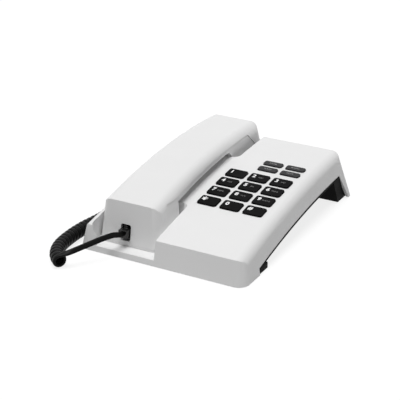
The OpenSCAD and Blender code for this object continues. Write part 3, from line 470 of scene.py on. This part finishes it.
class PHONE_OT_stage(bpy.types.Operator):
    """Camera, soft studio light and a plain pale floor"""
    bl_idname = "phone.stage"
    bl_label = "Stage"

    def execute(self, context):
        scene = context.scene
        lens = bpy.data.cameras.new("view")
        lens.lens, lens.sensor_width = LENS_MM, SENSOR_MM
        lens.clip_start, lens.clip_end = CLIP_NEAR, CLIP_FAR
        camera = bpy.data.objects.new("view", lens)
        scene.collection.objects.link(camera)
        camera.location = CAMERA_AT
        camera.rotation_euler = Vector(CAMERA_LOOK).to_track_quat("-Z", "Y").to_euler()
        scene.camera = camera

        sun = bpy.data.lights.new("window_light", "SUN")
        sun.energy, sun.angle = SUN_STRENGTH, math.radians(SUN_DEGREES)
        lamp = bpy.data.objects.new("window_light", sun)
        scene.collection.objects.link(lamp)
        lamp.rotation_euler = Vector(SUN_LOOK).to_track_quat("-Z", "Y").to_euler()

        world = bpy.data.worlds.new("studio")
        scene.world = world
        world.use_nodes = True
        tree = world.node_tree
        sky = tree.nodes["Background"]
        sky.inputs["Color"].default_value = (1, 1, 1, 1)
        sky.inputs["Strength"].default_value = SKY_STRENGTH
        white = tree.nodes.new("ShaderNodeBackground")
        white.inputs["Strength"].default_value = 1.0
        white.inputs["Color"].default_value = (1, 1, 1, 1)
        mix = tree.nodes.new("ShaderNodeMixShader")
        tree.links.new(self.seen(tree), mix.inputs["Fac"])
        tree.links.new(sky.outputs[0], mix.inputs[1])
        tree.links.new(white.outputs[0], mix.inputs[2])
        tree.links.new(mix.outputs[0], tree.nodes["World Output"].inputs["Surface"])

        bpy.ops.object.select_all(action="DESELECT")
        bpy.ops.mesh.primitive_plane_add(size=FLOOR_SIZE, location=(0, 0, 0))
        floor = context.object
        floor.name = "floor"
        floor.data.materials.append(self.floor_finish())
        scene.view_settings.view_transform = "Standard"
        return {"FINISHED"}

    @staticmethod
    def seen(tree):
        """Rays that show the background: the camera's, and those of gloss and glass"""
        path = tree.nodes.new("ShaderNodeLightPath")
        first = tree.nodes.new("ShaderNodeMath")
        second = tree.nodes.new("ShaderNodeMath")
        first.operation = second.operation = "MAXIMUM"
        tree.links.new(path.outputs["Is Camera Ray"], first.inputs[0])
        tree.links.new(path.outputs["Is Glossy Ray"], first.inputs[1])
        tree.links.new(first.outputs[0], second.inputs[0])
        tree.links.new(path.outputs["Is Transmission Ray"], second.inputs[1])
        return second.outputs[0]

    def floor_finish(self):
        """Matt floor that lights the part plainly and shows as the picture's pale ground"""
        material, tree, shader = start_material("pale_floor")
        tree.nodes.remove(shader)
        matt = tree.nodes.new("ShaderNodeBsdfDiffuse")
        matt.inputs["Color"].default_value = (FLOOR_MATT, FLOOR_MATT, FLOOR_MATT, 1)
        shown = tree.nodes.new("ShaderNodeBsdfDiffuse")
        shown.inputs["Color"].default_value = (FLOOR_SHOWN, FLOOR_SHOWN, FLOOR_SHOWN, 1)
        glow = tree.nodes.new("ShaderNodeEmission")
        glow.inputs["Strength"].default_value = FLOOR_GLOW
        both = tree.nodes.new("ShaderNodeAddShader")
        mix = tree.nodes.new("ShaderNodeMixShader")
        tree.links.new(shown.outputs[0], both.inputs[0])
        tree.links.new(glow.outputs[0], both.inputs[1])
        tree.links.new(self.seen(tree), mix.inputs["Fac"])
        tree.links.new(matt.outputs[0], mix.inputs[1])
        tree.links.new(both.outputs[0], mix.inputs[2])
        tree.links.new(mix.outputs[0], tree.nodes["Material Output"].inputs["Surface"])
        return material


# ---------------------------------------------------------------- cord

def smooth_route(points, steps):
    """Smooth line through listed points"""
    line = []
    last = len(points) - 1
    for i in range(last):
        a, b = points[max(i - 1, 0)], points[i]
        c, d = points[i + 1], points[min(i + 2, last)]
        for step in range(steps):
            t = step / steps
            line.append((2 * b + (c - a) * t + (2 * a - 5 * b + 4 * c - d) * t * t
                         + (3 * b - a - 3 * c + d) * t * t * t) / 2)
    return line + [points[-1]]


def measured(line):
    """Distance along a line to each of its points"""
    reach = [0.0]
    for a, b in zip(line, line[1:]):
        reach.append(reach[-1] + (b - a).length)
    return reach


def along(line, reach, distance):
    """Point and direction at a distance along a line"""
    i = 0
    while i < len(reach) - 2 and reach[i + 1] < distance:
        i += 1
    share = (distance - reach[i]) / (reach[i + 1] - reach[i])
    ahead, behind = line[min(i + 2, len(line) - 1)], line[max(i - 1, 0)]
    return line[i].lerp(line[i + 1], share), (ahead - behind).normalized()


def heading(line, i):
    """Direction of a line at one of its points"""
    return (line[min(i + 1, len(line) - 1)] - line[max(i - 1, 0)]).normalized()


def cord_line(size):
    """Centre and broad direction of the flat cord at each ring"""
    radius = (size.coil_width - size.cord_thickness) / 2
    axis = smooth_route(COIL, COIL_ROUTE_STEPS)
    reach = measured(axis)
    turns = round(reach[-1] / size.coil_pitch)
    count = turns * size.coil_steps
    up = Vector((0, 0, 1))
    curl = []
    for i in range(count + 1):
        centre, ahead = along(axis, reach, reach[-1] * i / count)
        side = ahead.cross(up).normalized()
        angle = 2 * math.pi * i / size.coil_steps
        curl.append((centre + radius * (up * math.cos(angle) - side * math.sin(angle)), ahead))
    lead = smooth_route(LEAD + [curl[0][0]], END_ROUTE_STEPS)[:-1]
    tail = smooth_route([curl[-1][0]] + TAIL, END_ROUTE_STEPS)[1:]
    points = lead + [c for c, _ in curl] + tail
    broad = []
    for i in range(len(points)):
        ahead = heading(points, i)
        if len(lead) <= i < len(lead) + len(curl):
            across = curl[i - len(lead)][1]
        elif i < len(lead):
            # The lead stands on its edge and turns flat where the curls begin
            turn = min(1, LEAD_TURN * (1 - i / len(lead)))
            edge = up * LEAD_UP + ahead.cross(up) * LEAD_ASIDE
            across = curl[0][1] * (1 - turn) + edge * turn
        else:
            across = ahead.cross(up)
        broad.append((across - ahead * across.dot(ahead)).normalized())
    return points, broad


class PHONE_OT_cord(bpy.types.Operator):
    """Flat handset cord: straight lead, curled length beside the base, tail to the rear socket"""
    bl_idname = "phone.cord"
    bl_label = "Curly cord"

    def execute(self, context):
        size = sizes()
        points, broad = cord_line(size)
        half, thin = size.cord_width / 2, size.cord_thickness / 2
        section = []
        for k in range(SECTION_CORNERS):
            a = 2 * math.pi * k / SECTION_CORNERS
            c, s = math.cos(a), math.sin(a)
            section.append((half * math.copysign(abs(c) ** SECTION_POWERS[0], c),
                            thin * math.copysign(abs(s) ** SECTION_POWERS[1], s)))
        vertices, faces = [], []
        n, m = len(points), len(section)
        for i, point in enumerate(points):
            normal = broad[i].cross(heading(points, i))
            vertices += [point + broad[i] * u + normal * v for u, v in section]
        for i in range(n - 1):
            for k in range(m):
                a, b = i * m + k, i * m + (k + 1) % m
                faces.append((a, b, b + m, a + m))
        faces += [tuple(reversed(range(m))), tuple(range((n - 1) * m, n * m))]
        mesh = bpy.data.meshes.new("handset_cord")
        mesh.from_pydata(vertices, [], faces)
        cord = bpy.data.objects.new("handset_cord", mesh)
        context.scene.collection.objects.link(cord)
        only(cord)
        bpy.ops.object.mode_set(mode="EDIT")
        bpy.ops.mesh.select_all(action="SELECT")
        bpy.ops.mesh.normals_make_consistent(inside=False)
        bpy.ops.object.mode_set(mode="OBJECT")
        bpy.ops.object.shade_smooth_by_angle(angle=math.radians(50))
        dress(cord, finishes()["cord_black"])
        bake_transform(cord)
        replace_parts(cord, "cord_lead", "cord_coil", "cord_tail")
        return {"FINISHED"}


# ---------------------------------------------------------------- base

class PHONE_OT_housing(bpy.types.Operator):
    """White upper housing, the black base under it and its rubber pads"""
    bl_idname = "phone.housing"
    bl_label = "Housing and base"

    def execute(self, context):
        shell_node("upper_housing", "white_housing", "housing_white", CREST, DECK_R)
        shell_node("base_plate", "black_base", "base_black", CREST, DECK_R)
        soft_node("rubber_feet", "rubber_pads", "rubber", 0.3 * MM, 2)
        return {"FINISHED"}


class PHONE_OT_keys(bpy.types.Operator):
    """Key caps and the ringer's knob, with soft edges"""
    bl_idname = "phone.keys"
    bl_label = "Keys"

    def execute(self, context):
        edge = sizes().key_edge
        for node in DIGIT_KEYS:
            soft_node(node, node + "_cap", "key_black", edge)
        for node in WORD_KEYS:
            soft_node(node, node + "_cap", "key_grey", edge)
        soft_node("ringer_knob", "ringer_slide", "part_black", 0.3 * MM, 2)
        return {"FINISHED"}


def lettering(text, name, height, weight, place):
    """Words as a thin printed layer, put in place by a matrix"""
    bpy.ops.object.select_all(action="DESELECT")
    bpy.ops.object.text_add(location=(0, 0, 0))
    piece = bpy.context.object
    words = piece.data
    words.body = text
    words.align_x, words.align_y = "CENTER", "CENTER"
    words.size = height / CAPITAL_SHARE
    words.offset = weight
    words.extrude = INK_DEPTH
    words.resolution_u = 4
    bpy.ops.object.convert(target="MESH")
    piece = bpy.context.object
    low = Vector([min(v.co[i] for v in piece.data.vertices) for i in range(3)])
    high = Vector([max(v.co[i] for v in piece.data.vertices) for i in range(3)])
    piece.data.transform(Matrix.Translation(-(low + high) / 2))
    piece.data.transform(place)
    piece.name = piece.data.name = name
    return piece


def print_on(node, piece, colour_of_ink):
    """Inks a lettering, which then moves with its key"""
    piece.data.materials.append(colour_of_ink)
    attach(piece, nodes[node]["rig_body"])


class PHONE_OT_figures(bpy.types.Operator):
    """Figures, letters and words printed on the keys"""
    bl_idname = "phone.figures"
    bl_label = "Figures"

    def execute(self, context):
        size, c = sizes(), colours()
        figure_ink, letter_ink = ink("figure_ink", c.figure), ink("letter_ink", c.letter)
        word_ink = ink("word_ink", c.word)
        for node, (figure, letters) in DIGIT_KEYS.items():
            top = self.key_top(node)
            height = size.figure_height * (STAR_SCALE if figure == "*" else 1)
            piece = lettering(figure, node + "_figure", height, FIGURE_BOLD * size.figure_height,
                              top @ Matrix.Translation(FIGURE_AT))
            print_on(node, piece, figure_ink)
            if letters:
                piece = lettering(letters, node + "_letters", size.letter_height, 0,
                                  top @ Matrix.Translation(LETTERS_AT))
                print_on(node, piece, letter_ink)
        for node, word in WORD_KEYS.items():
            piece = lettering(word, node + "_word", size.word_height, 0,
                              self.key_top(node) @ Matrix.Translation(WORD_AT))
            print_on(node, piece, word_ink)
        return {"FINISHED"}

    @staticmethod
    def key_top(node):
        """Frame on the middle of a key's top, square to the deck"""
        low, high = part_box(node)
        x = (low.x + high.x) / 2
        top = [v.co for v in nodes[node].data.vertices if v.co.z > high.z - KEY_TOP_DEPTH]
        turn = Matrix.Rotation(deck_slope((low.y + high.y) / 2), 4, "X")
        local = [turn.inverted() @ p for p in top]
        face = max(p.z for p in local)
        flat = [p for p in local if p.z > face - KEY_FACE_DEPTH]
        y = (min(p.y for p in flat) + max(p.y for p in flat)) / 2
        return turn @ Matrix.Translation((x, y, face))


# ---------------------------------------------------------------- handset

class PHONE_OT_handset(bpy.types.Operator):
    """Handset: upper and lower shell"""
    bl_idname = "phone.handset"
    bl_label = "Handset"

    def execute(self, context):
        shell_node("handset_top_shell", "handset_back", "handset_white", CROWN, HANDSET_R)
        shell_node("handset_bottom_shell", "handset_face", "handset_white", CROWN, HANDSET_R)
        return {"FINISHED"}


class PHONE_OT_plugs(bpy.types.Operator):
    """Plugs at the two ends of the cord and the sockets that take them"""
    bl_idname = "phone.plugs"
    bl_label = "Plugs and sockets"

    def execute(self, context):
        soft_node("handset_plug", "handset_cord_plug", "plug_black", 0.35 * MM)
        soft_node("base_plug", "base_cord_plug", "plug_black", 0.35 * MM)
        for node in ("handset_jack", "line_jack", "cord_jack"):
            soft_node(node, node + "_body", "jack_black", 0.25 * MM, 2)
        return {"FINISHED"}


class PHONE_OT_inner(bpy.types.Operator):
    """Finishes of the parts inside"""
    bl_idname = "phone.inner"
    bl_label = "Parts inside"

    def execute(self, context):
        looks = finishes()
        replaced = {n for piece in bpy.data.objects for n in piece.get("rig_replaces", [])}
        for slot, members in INNER_NODES.items():
            for node in members:
                piece = nodes[node]
                piece.data.materials.clear()
                piece.data.materials.append(looks[slot])
                only(piece)
                bpy.ops.object.shade_smooth_by_angle(angle=math.radians(SHELL_DEGREES))
        bare = sorted(set(nodes) - replaced - {n for m in INNER_NODES.values() for n in m})
        if bare:
            raise RuntimeError(f"no finish for {bare}")
        bpy.ops.object.select_all(action="DESELECT")
        return {"FINISHED"}


# ---------------------------------------------------------------- add-on

class PHONE_PT_panel(bpy.types.Panel):
    """Pieces of the telephone, and the sizes and colours that may be changed"""
    bl_idname = "PHONE_PT_panel"
    bl_label = "Desk Telephone"
    bl_space_type = "VIEW_3D"
    bl_region_type = "UI"
    bl_category = "Telephone"

    def draw(self, context):
        layout = self.layout
        for group in (context.scene.telephone_sizes, context.scene.telephone_colours):
            box = layout.box()
            for key in group.bl_rna.properties.keys():
                if key not in {"rna_type", "name"}:
                    box.prop(group, key)
        for operator in OPERATORS:
            layout.operator(operator.bl_idname)


OPERATORS = (PHONE_OT_stage, PHONE_OT_cord, PHONE_OT_housing, PHONE_OT_keys, PHONE_OT_figures,
             PHONE_OT_handset, PHONE_OT_plugs, PHONE_OT_inner)
CLASSES = (TelephoneSizes, TelephoneColours, *OPERATORS, PHONE_PT_panel)


def register():
    for item in CLASSES:
        bpy.utils.register_class(item)
    bpy.types.Scene.telephone_sizes = PointerProperty(type=TelephoneSizes)
    bpy.types.Scene.telephone_colours = PointerProperty(type=TelephoneColours)


def unregister():
    del bpy.types.Scene.telephone_colours
    del bpy.types.Scene.telephone_sizes
    for item in reversed(CLASSES):
        bpy.utils.unregister_class(item)


def main():
    register()
    bpy.ops.phone.stage()
    bpy.ops.phone.cord()
    bpy.ops.phone.housing()
    bpy.ops.phone.keys()
    bpy.ops.phone.figures()
    bpy.ops.phone.handset()
    bpy.ops.phone.plugs()
    bpy.ops.phone.inner()


if __name__ == "__main__":
    main()
